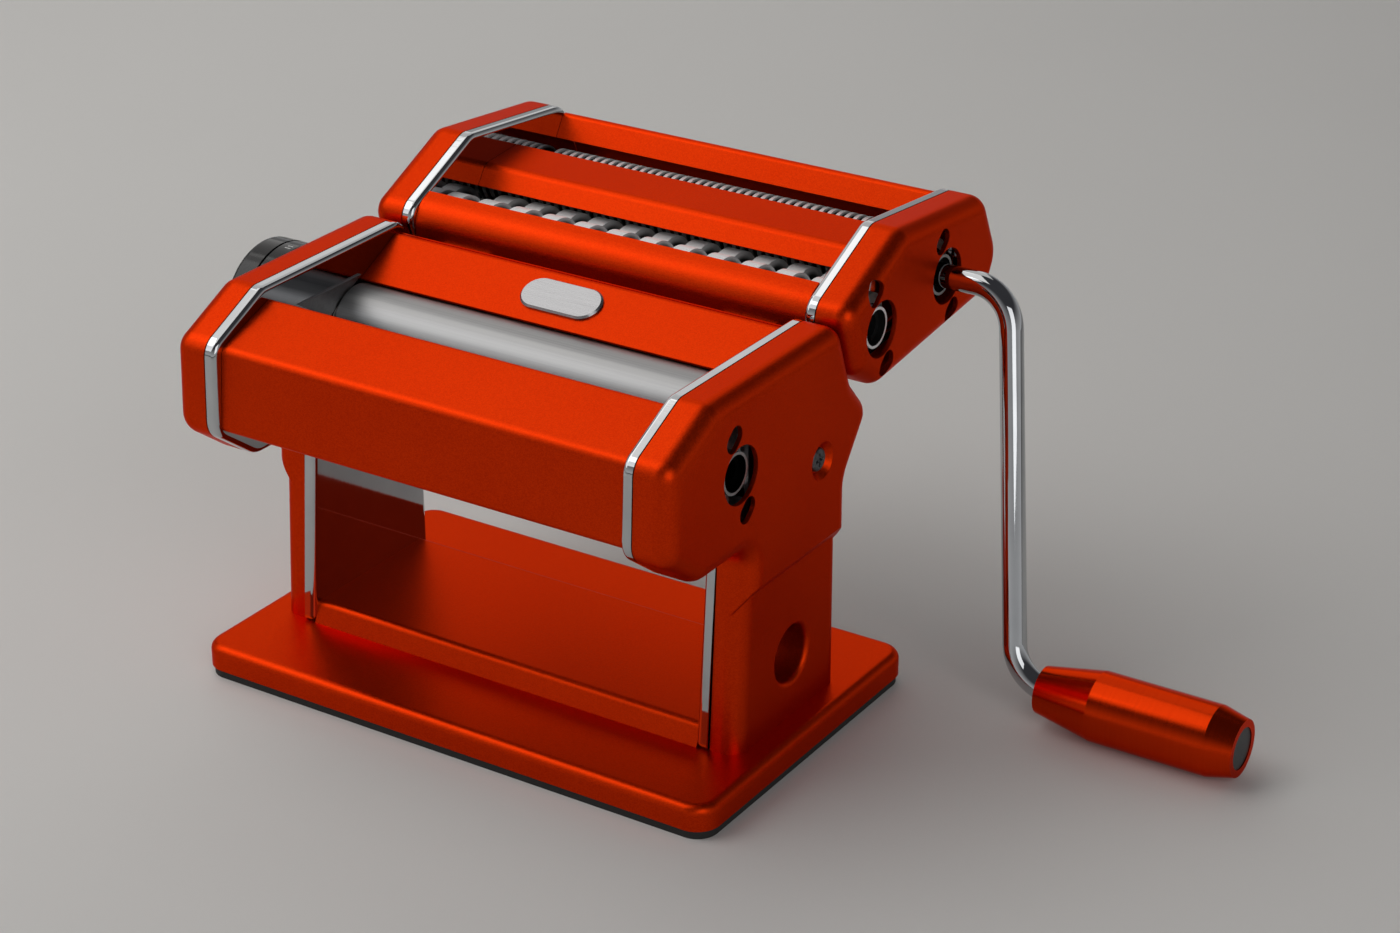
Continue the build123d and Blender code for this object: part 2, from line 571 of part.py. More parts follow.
def gap_knob():
    """Smooth cup with a square hole in its web, a well for spring and washer, and a line round its skirt."""
    knob = rod(KNOB_Y, ROLLER_Z, KNOB_R, -KNOB_FRONT, -KNOB_BACK)
    knob = fillet(knob.edges().filter_by(GeomType.CIRCLE), KNOB_EDGE)
    knob -= rod(KNOB_Y, ROLLER_Z, KNOB_WELL_R, -KNOB_FRONT - 1, -WELL_FLOOR)
    middle = -(KNOB_BACK + KNOB_FRONT) / 2
    knob -= tube(KNOB_Y, ROLLER_Z, KNOB_R + 1, KNOB_R - KNOB_GROOVE, middle, middle + KNOB_GROOVE_W)
    hole = AXLE_SQUARE + 2 * RUN
    knob -= Pos(-KNOB_BACK, KNOB_Y, ROLLER_Z) * Box(3 * KNOB_WEB, hole, hole)
    return knob - rod(KNOB_Y - PIN_CIRCLE, ROLLER_Z, PIN_R + SEAT, -WELL_FLOOR + PIN_R, -KNOB_BACK + 1)


def knob_index_pin():
    return rod(KNOB_Y - PIN_CIRCLE, ROLLER_Z, PIN_R, -WELL_FLOOR + PIN_R, -HEAD_FACE - PIN_CLEAR)


def knob_cap():
    return rod(KNOB_Y, ROLLER_Z, KNOB_WELL_R - SEAT, -KNOB_FRONT + PIN_CLEAR, -KNOB_FRONT + PIN_CLEAR + KNOB_CAP_T)


def knob_spring():
    """Coil about the knob axis, one unbroken wire of quarter-turn arcs."""
    rise = SPRING_LENGTH - SPRING_WIRE - 2 * COVER_GAP
    start = -WELL_FLOOR - SPRING_WIRE / 2 - COVER_GAP

    def at(turn):
        a = 2 * pi * turn
        return (start - rise * turn / SPRING_TURNS, KNOB_Y + SPRING_R * cos(a), ROLLER_Z + SPRING_R * sin(a))

    quarters = [ThreePointArc(at(i / 4), at(i / 4 + 1 / 8), at(i / 4 + 1 / 4)) for i in range(4 * SPRING_TURNS)]
    path = Wire(quarters)
    print("knob spring least gap to itself", round(rise / SPRING_TURNS - SPRING_WIRE, 2))
    return sweep(Plane(path @ 0, z_dir=path % 0) * Circle(SPRING_WIRE / 2), path)


def dial_ring():
    """Fixed ring whose arc slot has a scallop for each setting."""
    reach = PIN_R + PIN_CLEAR
    slot = (Circle(PIN_CIRCLE + reach) - Circle(PIN_CIRCLE - reach))
    slot &= Pos(0, DIAL_R / 2 - reach / 2) * Rectangle(3 * DIAL_R, DIAL_R + reach)
    for i in range(SETTINGS):
        a = pi * i / (SETTINGS - 1)
        bump = PIN_CIRCLE + PIN_CLEAR
        slot += Pos(bump * cos(a), bump * sin(a)) * Circle(reach)
    face = Circle(DIAL_R) - Circle(AXLE_HEAD_R + 2 * PIN_CLEAR) - slot
    return slab(Pos(KNOB_Y, ROLLER_Z) * face, -HEAD_FACE - DIAL_T, -HEAD_FACE)


# Panels of the head
def feed_plaque():
    """Plain bright oval on the middle of the feed plate."""
    (y0, z0), (y1, z1) = FEED_LINE[:2]
    lean = degrees(atan2(z1 - z0, y1 - y0))
    oval = extrude(SlotOverall(PLAQUE_LENGTH, PLAQUE_WIDTH), PLAQUE_T)
    oval = chamfer(oval.faces().sort_by(Axis.Z)[-1].edges(), PLAQUE_T / 2)
    return Pos(PLAQUE_X, (y0 + y1) / 2, (z0 + z1) / 2) * Rot(lean, 0, 0) * Pos(0, 0, SHEET_T / 2) * oval


def hanger_brackets():
    """Slotted blocks behind the rear panel that take the cutter hooks."""
    back = NOSE_FACE + HOOK_CLEAR + HANGER_WALL
    depth = back - REAR_PANEL_BACK
    width = HOOK_W + 2 * HOOK_SHOULDER
    block = Box(width, depth, HANGER_TOP - HANGER_BOTTOM, align=(Align.CENTER, Align.MIN, Align.MIN))
    block = Pos(HOOK_X, REAR_PANEL_BACK, HANGER_BOTTOM) * block
    slot = Box(HOOK_W + 2 * HOOK_CLEAR, HOOK_T + 2 * HOOK_CLEAR, 3 * HANGER_TOP)
    block -= Pos(HOOK_X, NOSE_FACE - HOOK_T / 2, 0) * slot
    return group([block, flip(block)])


def cutter_hooks():
    """Flat T-shaped tongues on the front plate, shoulders resting on the hangers."""
    top = HANGER_TOP + HOOK_RISE
    wide = HOOK_W + 2 * HOOK_SHOULDER - 1
    face = Pos(HOOK_X, (top + HANGER_TOP) / 2) * Rectangle(wide, top - HANGER_TOP)
    face += Pos(HOOK_X, (top + HOOK_BOTTOM) / 2) * Rectangle(HOOK_W, top - HOOK_BOTTOM)
    hook = extrude(Plane.XZ.offset(-NOSE_FACE) * face, HOOK_T)
    return group([hook, flip(hook)])


def hopper_end_guards():
    guard = slab(make_face(Polyline(*GUARD, close=True)), PLATE_IN - GUARD_T, PLATE_IN)
    return group([guard, flip(guard)])


def front_scraper():
    lip = PANEL_LINE[0][1] - SHEET_T
    tip_y, tip_z = round_roller(FRONT_Y, ROLLER_Z, 232, SCRAPER_CLEAR)
    return sheet([(PANEL_LINE[0][0] - LAP, lip), (tip_y - SCRAPER_RUN, lip), (tip_y, tip_z)], [EDGE_BEND], SHEET_HALF)


def rear_scraper():
    tip_y, tip_z = round_roller(KNOB_Y, ROLLER_Z - ECC, 305, SCRAPER_CLEAR)
    shelf = REAR_LINE[0][1] + SHEET_T
    return sheet([(REAR_LINE[1][0] - LAP, shelf), (tip_y + SCRAPER_RUN, shelf), (tip_y, tip_z)], [EDGE_BEND], SHEET_HALF)


# Cutter rolls
def ring_slots(count, first):
    """Middles of every second slot along a cutter roll."""
    pitch = 2 * ROLLER_HALF / count
    return [-ROLLER_HALF + pitch * (i + 0.5) for i in range(first, count, 2)]


def cutter_roll(place, ring_r, core_r, count, first, driven):
    """Grooved roll with journals; driven rolls end in a crank socket on the right."""
    half_ring = ROLLER_HALF / count - RING_CLEAR
    left = GEAR_END + BRACKET_GAP
    right, right_r = (SOCKET_END, DRIVE_R) if driven else (PLATE_OUT + BUSH_FLANGE_T, IDLER_R)
    profile = [(-left, 0), (-left, IDLER_R), (-ROLLER_HALF, IDLER_R), (-ROLLER_HALF, core_r)]
    for x in ring_slots(count, first):
        profile += [(x - half_ring, core_r), (x - half_ring, ring_r), (x + half_ring, ring_r), (x + half_ring, core_r)]
    profile += [(ROLLER_HALF, core_r), (ROLLER_HALF, right_r), (right, right_r), (right, 0)]
    roll = spun(profile, *place)
    return driven_end(roll, *place) if driven else roll


def cutter_gear(place, step, phase):
    """Gear on the left end of a cutter roll."""
    pitch_r = step / 2
    module = step / CUTTER_TEETH
    face = toothed(CUTTER_TEETH, pitch_r - 1.15 * module, pitch_r + 0.85 * module, 1.5 * module, 0.6 * module, phase)
    return slab(Pos(*place) * (face - Circle(IDLER_R + SEAT)), -GEAR_END, -GEAR_X)


def comb(place, ring_r, core_r, centres, tooth_w, side):
    """Stripper comb under a roll, its teeth reaching into the grooves; side is +1 with its bar behind."""
    y, z = place
    drop = core_r + COMB_CLEAR
    near = y + side * ((ring_r ** 2 - drop ** 2) ** 0.5 + COMB_CLEAR)
    far = near + side * COMB_BAR
    tip = y - side * ring_r / 2
    points = [(-SHEET_HALF, near), (-SHEET_HALF, far), (SHEET_HALF, far), (SHEET_HALF, near)]
    for x in reversed(centres):
        points += [(x + tooth_w / 2, near), (x + tooth_w / 2, tip), (x - tooth_w / 2, tip), (x - tooth_w / 2, near)]
    return Pos(0, 0, z - drop - COMB_T) * extrude(make_face(Polyline(*points, close=True)), COMB_T)


def combs(driven, idler, ring_r, core_r, count):
    tooth_w = COMB_TOOTH * 2 * ROLLER_HALF / count
    return group([comb(driven, ring_r, core_r, ring_slots(count, 1), tooth_w, -1),
                  comb(idler, ring_r, core_r, ring_slots(count, 0), tooth_w, 1)])


# Crank
def crank_rod():
    start = SOCKET_END - SOCKET_DEPTH + COVER_GAP
    head = GRIP_END - GRIP_WELL
    path = FilletPolyline((start, NARROW_Y, NARROW_Z), (CRANK_TOP_X, NARROW_Y, NARROW_Z),
                          (CRANK_FOOT_X, GRIP_Y, GRIP_Z), (head, GRIP_Y, GRIP_Z), radius=[CRANK_BEND, CRANK_BEND])
    bar = sweep(Plane.YZ.offset(start) * (Pos(NARROW_Y, NARROW_Z) * Circle(CRANK_R)), path)
    bar += rod(GRIP_Y, GRIP_Z, CRANK_HEAD_R, head, head + CRANK_HEAD_T)
    return bar - crank_pin(SEAT)


def crank_pin(extra=0.0):
    x = MOUTH_FLOOR - SOCKET_SLOT_DEPTH / 2
    return Pos(x, NARROW_Y, NARROW_Z) * Cylinder(CRANK_PIN_R + extra, CRANK_PIN_LENGTH)


def crank_grip():
    head = GRIP_END - GRIP_WELL
    bore = CRANK_R + RUN
    profile = [(GRIP_START, bore), (GRIP_START, GRIP_NECK_R), (GRIP_START + GRIP_CONE, GRIP_R),
               (GRIP_END - GRIP_TAIL, GRIP_R), (GRIP_END, GRIP_TAIL_R), (GRIP_END, GRIP_WELL_R),
               (head - RUN, GRIP_WELL_R), (head - RUN, bore)]
    return spun(profile, GRIP_Y, GRIP_Z)


def grip_cap():
    end = GRIP_END - COVER_GAP
    return rod(GRIP_Y, GRIP_Z, GRIP_WELL_R - SEAT, end - GRIP_CAP_T, end)


def all_nodes():
    wide, narrow = (WIDE_Y, WIDE_Z), (NARROW_Y, NARROW_Z)
    right_cover = socket_holes(end_cover(), FRONT_Y, ROLLER_Z)
    left_cover = flip(end_cover() - rod(KNOB_Y, ROLLER_Z, COVER_HOLE_R, COVER_START, HEAD_FACE + 1))
    right_cutter_cover = socket_holes(socket_holes(cutter_cover(), *wide), *narrow)
    fixings = [screw(y, z, s) for y, z in RODS + BASE_SCREWS for s in (1, -1)]
    fixings += [screw(y, z, 1, BRACKET_X + BRACKET_T) for y, z in BRACKET_POSTS]
    post = tube(*COVER_SCREW, POST_R, SCREW_R + SEAT, PLATE_OUT, DISH_FLOOR - COVER_T)
    cover_head = rod(*COVER_SCREW, COVER_SCREW_HEAD_R, DISH_FLOOR, DISH_FLOOR + COVER_SCREW_HEAD_T)
    cover_screw = cover_head + rod(*COVER_SCREW, SCREW_R, DISH_FLOOR - 1.5 * SCREW_LENGTH, DISH_FLOOR)
    half_turn = 180 + 180 / CUTTER_TEETH
    idler_bushes = [bush(*p, IDLER_R, -1) for p in (wide, narrow, WIDE_IDLER, NARROW_IDLER)]
    idler_bushes += [bush(*p, IDLER_R) for p in (WIDE_IDLER, NARROW_IDLER)]
    return {
        "base_pan": base_pan(),
        "base_sole": base_sole(),
        "side_plate_left": side_plate_left(),
        "side_plate_right": side_plate_right(),
        "end_cover_left": left_cover,
        "end_cover_right": right_cover,
        "front_panel": sheet(PANEL_LINE, [2, EDGE_BEND, 1], SHEET_HALF),
        "feed_plate": sheet(FEED_LINE, [1.5], SHEET_HALF),
        "feed_plaque": feed_plaque(),
        "rear_panel": sheet(REAR_LINE, [EDGE_BEND], SHEET_HALF),
        "hanger_brackets": hanger_brackets(),
        "tie_rods": group([tie_rod(y, z, ROD_R) for y, z in RODS]),
        "hopper_end_guards": hopper_end_guards(),
        "front_scraper": front_scraper(),
        "rear_scraper": rear_scraper(),
        "front_roller_bushes": group([bush(FRONT_Y, ROLLER_Z, DRIVE_R, s) for s in (1, -1)]),
        "gap_axle_bush": bush(KNOB_Y, ROLLER_Z, AXLE_HEAD_R, -1),
        "gear_bracket": gear_bracket(),
        "gear_bracket_posts": bracket_posts(),
        "cover_posts": group([post, flip(post)]),
        "cover_screws": group([cover_screw, flip(cover_screw)]),
        "frame_screws": group(fixings),
        "dial_ring": dial_ring(),
        "front_roller": front_roller(),
        "front_roller_gear": roller_gear(FRONT_Y, DRIVE_R),
        "rear_roller": rear_roller(),
        "rear_roller_gear": roller_gear(REAR_Y, NECK_R),
        "rear_roller_bushes": rear_roller_bushes(),
        "gap_axle": gap_axle(),
        "knob_retaining_screw": knob_retaining_screw(),
        "knob_spring": knob_spring(),
        "gap_knob": gap_knob(),
        "knob_index_pin": knob_index_pin(),
        "knob_cap": knob_cap(),
        "cutter_side_plate_left": flip(cutter_plate(IDLER_BUSH_R)),
        "cutter_side_plate_right": cutter_plate(DRIVE_BUSH_R),
        "cutter_end_cover_left": flip(cutter_cover()),
        "cutter_end_cover_right": right_cutter_cover,
        "cutter_front_plate": sheet(NOSE_LINE, [NOSE_BEND], SHEET_HALF),
        "cutter_divider": sheet(DIVIDER_LINE, [EDGE_BEND], SHEET_HALF),
        "cutter_back_plate": sheet(BACK_LINE, [1.5, EDGE_BEND], SHEET_HALF),
        "cutter_hooks": cutter_hooks(),
        "cutter_tie_rods": group([tie_rod(y, z, CUTTER_ROD_R) for y, z in CUTTER_RODS]),
        "cutter_screws": group([screw(y, z, s) for y, z in CUTTER_RODS for s in (1, -1)]),
        "cutter_drive_bushes": group([bush(*p, DRIVE_R) for p in (wide, narrow)]),
        "cutter_idler_bushes": group(idler_bushes),
        "wide_combs": combs(wide, WIDE_IDLER, WIDE_R, WIDE_CORE, WIDE_SLOTS),
        "narrow_combs": combs(narrow, NARROW_IDLER, NARROW_R, NARROW_CORE, NARROW_SLOTS),
        "wide_cutter_driven": cutter_roll(wide, WIDE_R, WIDE_CORE, WIDE_SLOTS, 0, True),
        "wide_driven_gear": cutter_gear(wide, WIDE_STEP, WIDE_TILT),
        "wide_cutter_idler": cutter_roll(WIDE_IDLER, WIDE_R, WIDE_CORE, WIDE_SLOTS, 1, False),
        "wide_idler_gear": cutter_gear(WIDE_IDLER, WIDE_STEP, WIDE_TILT + half_turn),
        "narrow_cutter_driven": cutter_roll(narrow, NARROW_R, NARROW_CORE, NARROW_SLOTS, 0, True),
        "narrow_driven_gear": cutter_gear(narrow, NARROW_STEP, NARROW_TILT),
        "narrow_cutter_idler": cutter_roll(NARROW_IDLER, NARROW_R, NARROW_CORE, NARROW_SLOTS, 1, False),
        "narrow_idler_gear": cutter_gear(NARROW_IDLER, NARROW_STEP, NARROW_TILT + half_turn),
        "crank_rod": crank_rod(),
        "crank_pin": crank_pin(),
        "crank_grip": crank_grip(),
        "grip_cap": grip_cap(),
    }


os.makedirs("parts", exist_ok=True)
for name, shape in all_nodes().items():
    export_step(shape, os.path.join("parts", name + ".step"))
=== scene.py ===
import bpy
import numpy as np
from math import radians
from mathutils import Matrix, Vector


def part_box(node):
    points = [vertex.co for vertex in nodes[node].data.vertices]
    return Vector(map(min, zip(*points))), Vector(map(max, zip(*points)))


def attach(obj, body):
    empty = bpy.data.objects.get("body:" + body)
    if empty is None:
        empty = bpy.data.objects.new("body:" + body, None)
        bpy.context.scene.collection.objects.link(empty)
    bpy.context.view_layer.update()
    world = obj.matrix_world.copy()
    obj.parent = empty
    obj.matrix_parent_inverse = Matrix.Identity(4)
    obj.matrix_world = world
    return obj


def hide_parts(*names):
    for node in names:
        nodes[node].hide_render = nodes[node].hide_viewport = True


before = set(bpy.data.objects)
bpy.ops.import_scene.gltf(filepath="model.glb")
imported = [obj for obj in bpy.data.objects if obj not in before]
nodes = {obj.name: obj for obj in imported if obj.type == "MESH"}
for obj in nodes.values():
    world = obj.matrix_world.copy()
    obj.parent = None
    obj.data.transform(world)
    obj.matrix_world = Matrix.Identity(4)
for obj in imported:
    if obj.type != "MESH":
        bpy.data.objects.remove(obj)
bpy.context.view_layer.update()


def extent(piece):
    """Lowest and highest corner of a piece's own mesh."""
    places = np.empty(3 * len(piece.data.vertices), np.float32)
    piece.data.vertices.foreach_get("co", places)
    places = places.reshape(-1, 3)
    return places.min(axis=0), places.max(axis=0)


# Shader building
class Wire:
    """A shader value; arithmetic on it adds Math nodes."""

    def __init__(self, finish, socket):
        self.finish = finish
        self.socket = socket

    def math(self, operation, *values):
        return self.finish.node("ShaderNodeMath", {"operation": operation}, dict(enumerate(values)))

    def __add__(self, other):
        return self.math("ADD", self, other)

    def __mul__(self, other):
        return self.math("MULTIPLY", self, other)

    def __sub__(self, other):
        return self.math("SUBTRACT", self, other)

    def __rsub__(self, other):
        return self.math("SUBTRACT", other, self)

    def __pow__(self, other):
        return self.math("POWER", self, other)

    __radd__ = __add__
    __rmul__ = __mul__


class Finish:
    """One material of the machine, built node by node around its Principled shader."""

    def __init__(self, name, **constants):
        self.material = bpy.data.materials.new(name)
        self.material.use_nodes = True
        self.tree = self.material.node_tree
        self.shader = self.tree.nodes["Principled BSDF"]
        self.place = self.node("ShaderNodeTexCoord", out="Object")
        for socket, value in constants.items():
            self.feed(self.shader.inputs[socket.replace("_", " ")], value)

    def feed(self, socket, value):
        if isinstance(value, Wire):
            self.tree.links.new(value.socket, socket)
        else:
            socket.default_value = value

    def node(self, kind, settings=None, values=None, out=0):
        made = self.tree.nodes.new(kind)
        for name, value in (settings or {}).items():
            setattr(made, name, value)
        for name, value in (values or {}).items():
            self.feed(made.inputs[name], value)
        return Wire(self, made.outputs[out])

    def noise(self, scale, detail=2.0, stretch=(1, 1, 1)):
        """Noise over the piece, drawn out along the axes whose stretch is small."""
        place = self.node("ShaderNodeMapping", None, {"Vector": self.place, "Scale": stretch})
        return self.node("ShaderNodeTexNoise", None, {"Vector": place, "Scale": scale, "Detail": detail})

    def flakes(self, size):
        """One random value for each fleck of about the given size in metres."""
        cells = self.node("ShaderNodeTexVoronoi", None,
                          {"Vector": self.place, "Scale": 1 / size}, out="Color")
        return self.node("ShaderNodeSeparateColor", None, {0: cells})

    def blend(self, share, first, second):
        """Colour between two colours, each given as numbers or as a wire."""
        ends = [colour if isinstance(colour, Wire) else (*colour, 1) for colour in (first, second)]
        return self.node("ShaderNodeMix", {"data_type": "RGBA"}, {0: share, 6: ends[0], 7: ends[1]}, out=2)

    def ramp(self, value, start, end):
        """Smooth step from 0 at start to 1 at end."""
        return self.node("ShaderNodeMapRange", {"interpolation_type": "SMOOTHSTEP"},
                         {"Value": value, "From Min": start, "From Max": end})

    def along_and_round(self, piece):
        """Place along X and distance from the axis of a round piece."""
        low, high = extent(piece)
        split = self.node("ShaderNodeSeparateXYZ", None, {0: self.place})
        x, y, z = (Wire(self, out) for out in split.socket.node.outputs)
        y = y - float(low[1] + high[1]) / 2
        z = z - float(low[2] + high[2]) / 2
        return x, (y * y + z * z) ** 0.5

    def relief(self, height, depth):
        """Surface normal of a fine relief of the given depth in metres."""
        return self.node("ShaderNodeBump", None, {"Height": height, "Distance": depth, "Strength": 1.0})

    def surface(self, **links):
        for socket, value in links.items():
            self.feed(self.shader.inputs[socket.replace("_", " ")], value)
        return self.material


# Finishes
DEEP_RED = (0.50, 0.017, 0.001)
ORANGE_RED = (0.78, 0.052, 0.003)
RED_EDGE = (1.0, 0.52, 0.50, 1)     # keeps the red from paling where it is seen along the surface


def satin_red():
    """Metallic red lacquer: fine flakes shift it between deep red and orange under a satin coat."""
    f = Finish("satin_red_lacquer", Metallic=1.0, Specular_Tint=RED_EDGE)
    fleck = f.flakes(0.00030)
    cloud = f.noise(22, 3)
    return f.surface(Base_Color=f.blend(0.42 * fleck + 0.34 * cloud, DEEP_RED, ORANGE_RED),
                     Roughness=0.29 + 0.09 * fleck + 0.08 * cloud,
                     Normal=f.relief(fleck, 0.000012))


def turned_red():
    """Glossier red of the turned grip, with fine turning lines round it."""
    f = Finish("turned_red_anodised", Metallic=1.0, Specular_Tint=RED_EDGE)
    lines = f.noise(1, 3, (4200, 30, 30))
    cloud = f.noise(30, 2)
    return f.surface(Base_Color=f.blend(0.5 * lines + 0.3 * cloud, DEEP_RED, ORANGE_RED),
                     Roughness=0.15 + 0.10 * lines,
                     Normal=f.relief(lines, 0.000006))


def mirror_chrome():
    """Bright plating with a faint haze of wiping marks."""
    f = Finish("mirror_chrome", Metallic=1.0)
    haze = f.noise(70, 4)
    wipes = f.noise(1, 2, (90, 900, 260))
    return f.surface(Base_Color=f.blend(haze, (0.42, 0.43, 0.45), (0.56, 0.57, 0.58)),
                     Roughness=0.03 + 0.07 * haze * wipes,
                     Normal=f.relief(wipes, 0.000004))


SOCKET_START = 0.0765       # crank sockets run from here to the right
SOCKET_R = 0.00585
RINGS_HALF = 0.0745         # half length of the grooved part of a cutter roll
# near-black painted shade for the bores of the crank sockets and the bottoms of the cutter grooves
PAINTED_SHADE = (0.012, 0.012, 0.012)


def drawn_aluminium(piece):
    """Anodised roller skin with drawn streaks along its length; the crank socket inside it is painted
    near-black as shade.
    """
    f = Finish("drawn_aluminium", Metallic=1.0)
    streak = f.noise(1, 3, (9, 1500, 1500))
    band = f.noise(1, 2, (4, 330, 330))
    skin = f.blend(0.6 * streak + 0.4 * band, (0.18, 0.18, 0.185), (0.46, 0.46, 0.46))
    x, reach = f.along_and_round(piece)
    # painted shade: the bore of the crank socket is coloured near-black
    socket = x.math("GREATER_THAN", x, SOCKET_START) * x.math("LESS_THAN", reach, SOCKET_R)
    return f.surface(Base_Color=f.blend(socket, skin, PAINTED_SHADE),
                     Roughness=0.27 + 0.22 * streak,
                     Normal=f.relief(streak, 0.00001))


def turned_ring(piece, core, rim, tone):
    """Machined cutter rings with turning lines round them.

    The grooves are painted with shade, dark at the core radius and clearing up at the rim radius; the crank
    socket is painted dark as shade too.
    """
    f = Finish("turned_ring_metal", Metallic=0.4)
    lines = f.noise(1, 2, (5200, 60, 60))
    stain = f.noise(120, 3)
    bright = f.blend(0.6 * lines + 0.4 * stain, [0.74 * tone] * 3, [tone] * 3)
    x, reach = f.along_and_round(piece)
    ringed = x.math("LESS_THAN", x.math("ABSOLUTE", x), RINGS_HALF)
    # painted shade: dark at the groove bottoms, fading out towards the ring rims
    groove_shade = ringed * (1.0 - f.ramp(reach, core, rim))
    # painted shade: the bore of the crank socket is coloured near-black
    socket = x.math("GREATER_THAN", x, SOCKET_START) * x.math("LESS_THAN", reach, SOCKET_R)
    return f.surface(Base_Color=f.blend(x.math("MAXIMUM", groove_shade, socket), bright, PAINTED_SHADE),
                     Roughness=0.36 + 0.18 * lines,
                     Normal=f.relief(lines, 0.00001))


def zinc_steel():
    """Plated steel of the hidden frame, spangled and slightly dull."""
    f = Finish("zinc_steel", Metallic=1.0)
    spangle = f.flakes(0.0011)
    haze = f.noise(260, 3)
    return f.surface(Base_Color=f.blend(0.5 * spangle + 0.5 * haze, (0.40, 0.41, 0.42), (0.66, 0.67, 0.68)),
                     Roughness=0.24 + 0.16 * haze,
                     Normal=f.relief(haze, 0.000015))


def white_nylon():
    """Moulded bearing plastic, faintly mottled."""
    f = Finish("white_nylon", Specular_IOR_Level=0.45)
    mottle = f.noise(420, 3)
    return f.surface(Base_Color=f.blend(mottle, (0.74, 0.72, 0.66), (0.88, 0.87, 0.83)),
                     Roughness=0.36 + 0.14 * mottle,
                     Normal=f.relief(mottle, 0.00003))


def black_gloss():
    """Glossy moulded black with a faint orange-peel ripple and dust."""
    f = Finish("black_gloss", Specular_IOR_Level=0.3)
    ripple = f.noise(420, 2)
    dust = f.noise(2600, 2) ** 6.0
    return f.surface(Base_Color=f.blend(dust, (0.010, 0.010, 0.011), (0.09, 0.09, 0.09)),
                     Roughness=0.08 + 0.08 * ripple,
                     Normal=f.relief(ripple, 0.00001))


def black_sole():
    """Matte moulded sole with a fine grain."""
    f = Finish("black_sole_rubber", Specular_IOR_Level=0.3)
    grain = f.noise(1500, 3)
    return f.surface(Base_Color=f.blend(grain, (0.012, 0.012, 0.012), (0.034, 0.033, 0.032)),
                     Roughness=0.58 + 0.25 * grain,
                     Normal=f.relief(grain, 0.00008))


def plaque_metal():
    """Softly brushed plate of the plain plaque."""
    f = Finish("plaque_metal", Metallic=1.0)
    strokes = f.noise(1, 3, (60, 2400, 2400))
    return f.surface(Base_Color=f.blend(strokes, (0.26, 0.26, 0.27), (0.46, 0.46, 0.47)),
                     Roughness=0.20 + 0.16 * strokes,
                     Normal=f.relief(strokes, 0.00001))


def dark_cap():
    """Charcoal plastic of the grip's end, with a fine moulded grain."""
    f = Finish("dark_cap_plastic", Specular_IOR_Level=0.35)
    grain = f.noise(1100, 3)
    return f.surface(Base_Color=f.blend(grain, (0.020, 0.021, 0.022), (0.050, 0.051, 0.053)),
                     Roughness=0.40 + 0.18 * grain,
                     Normal=f.relief(grain, 0.00003))


def dark_screw():
    """Blackened steel of the cover screws, rubbed a little brighter in places."""
    f = Finish("blackened_screw_steel", Metallic=1.0)
    rub = f.noise(700, 3)
    return f.surface(Base_Color=f.blend(rub ** 2.0, (0.045, 0.046, 0.048), (0.26, 0.26, 0.27)),
                     Roughness=0.30 + 0.18 * rub,
                     Normal=f.relief(rub, 0.00001))


def dial_paint():
    """White filling of the knob's marks."""
    f = Finish("dial_paint")
    wear = f.noise(1800, 3)
    return f.surface(Base_Color=f.blend(wear, (0.62, 0.62, 0.60), (0.84, 0.84, 0.82)),
                     Roughness=0.42 + 0.15 * wear)


def pale_floor():
    """Plain pale studio floor."""
    f = Finish("pale_floor", Specular_IOR_Level=0.2)
    shade = f.noise(3, 2)
    return f.surface(Base_Color=f.blend(shade, (0.70, 0.69, 0.67), (0.74, 0.73, 0.71)),
                     Roughness=0.62 + 0.1 * shade)


FINISH_OF_SLOT = {
    "red_satin": satin_red(),
    "bright_chrome": mirror_chrome(),
    "plain_steel": zinc_steel(),
    "white_nylon": white_nylon(),
    "black_gloss": black_gloss(),
    "black_sole": black_sole(),
}
# Painted shade in the grooves of the cutter rolls: dark up to the first radius, clear from the second; then
# how pale the rings are
RING_SHADE_AND_TONE = {
    "wide_cutter_driven": (0.0095, 0.0112, 0.95),
    "wide_cutter_idler": (0.0085, 0.0108, 0.95),
    # painted shade: the narrow driven roll's rings are a darker copy of the same metal, tone 0.30 against
    # 0.95
    "narrow_cutter_driven": (0.0090, 0.0099, 0.30),
    "narrow_cutter_idler": (0.0088, 0.0097, 0.95),
}
OWN_FINISH = {
    "grip_cap": dark_cap(),
    "feed_plaque": plaque_metal(),
    "crank_grip": turned_red(),
}
for name, piece in nodes.items():
    slot = piece.data.materials[0].name
    if name in RING_SHADE_AND_TONE:
        piece.data.materials[0] = turned_ring(piece, *RING_SHADE_AND_TONE[name])
    elif name in OWN_FINISH:
        piece.data.materials[0] = OWN_FINISH[name]
    elif slot == "brushed_aluminium":
        piece.data.materials[0] = drawn_aluminium(piece)
    else:
        piece.data.materials[0] = FINISH_OF_SLOT[slot]


# Mesh building
def grid_faces(rows, columns, first=0):
    """Quads of a grid of rows x columns points, numbered on from first."""
    index = first + np.arange(rows * columns).reshape(rows, columns)
    return np.stack([index[:-1, :-1], index[:-1, 1:], index[1:, 1:], index[1:, :-1]], axis=-1).reshape(-1, 4)


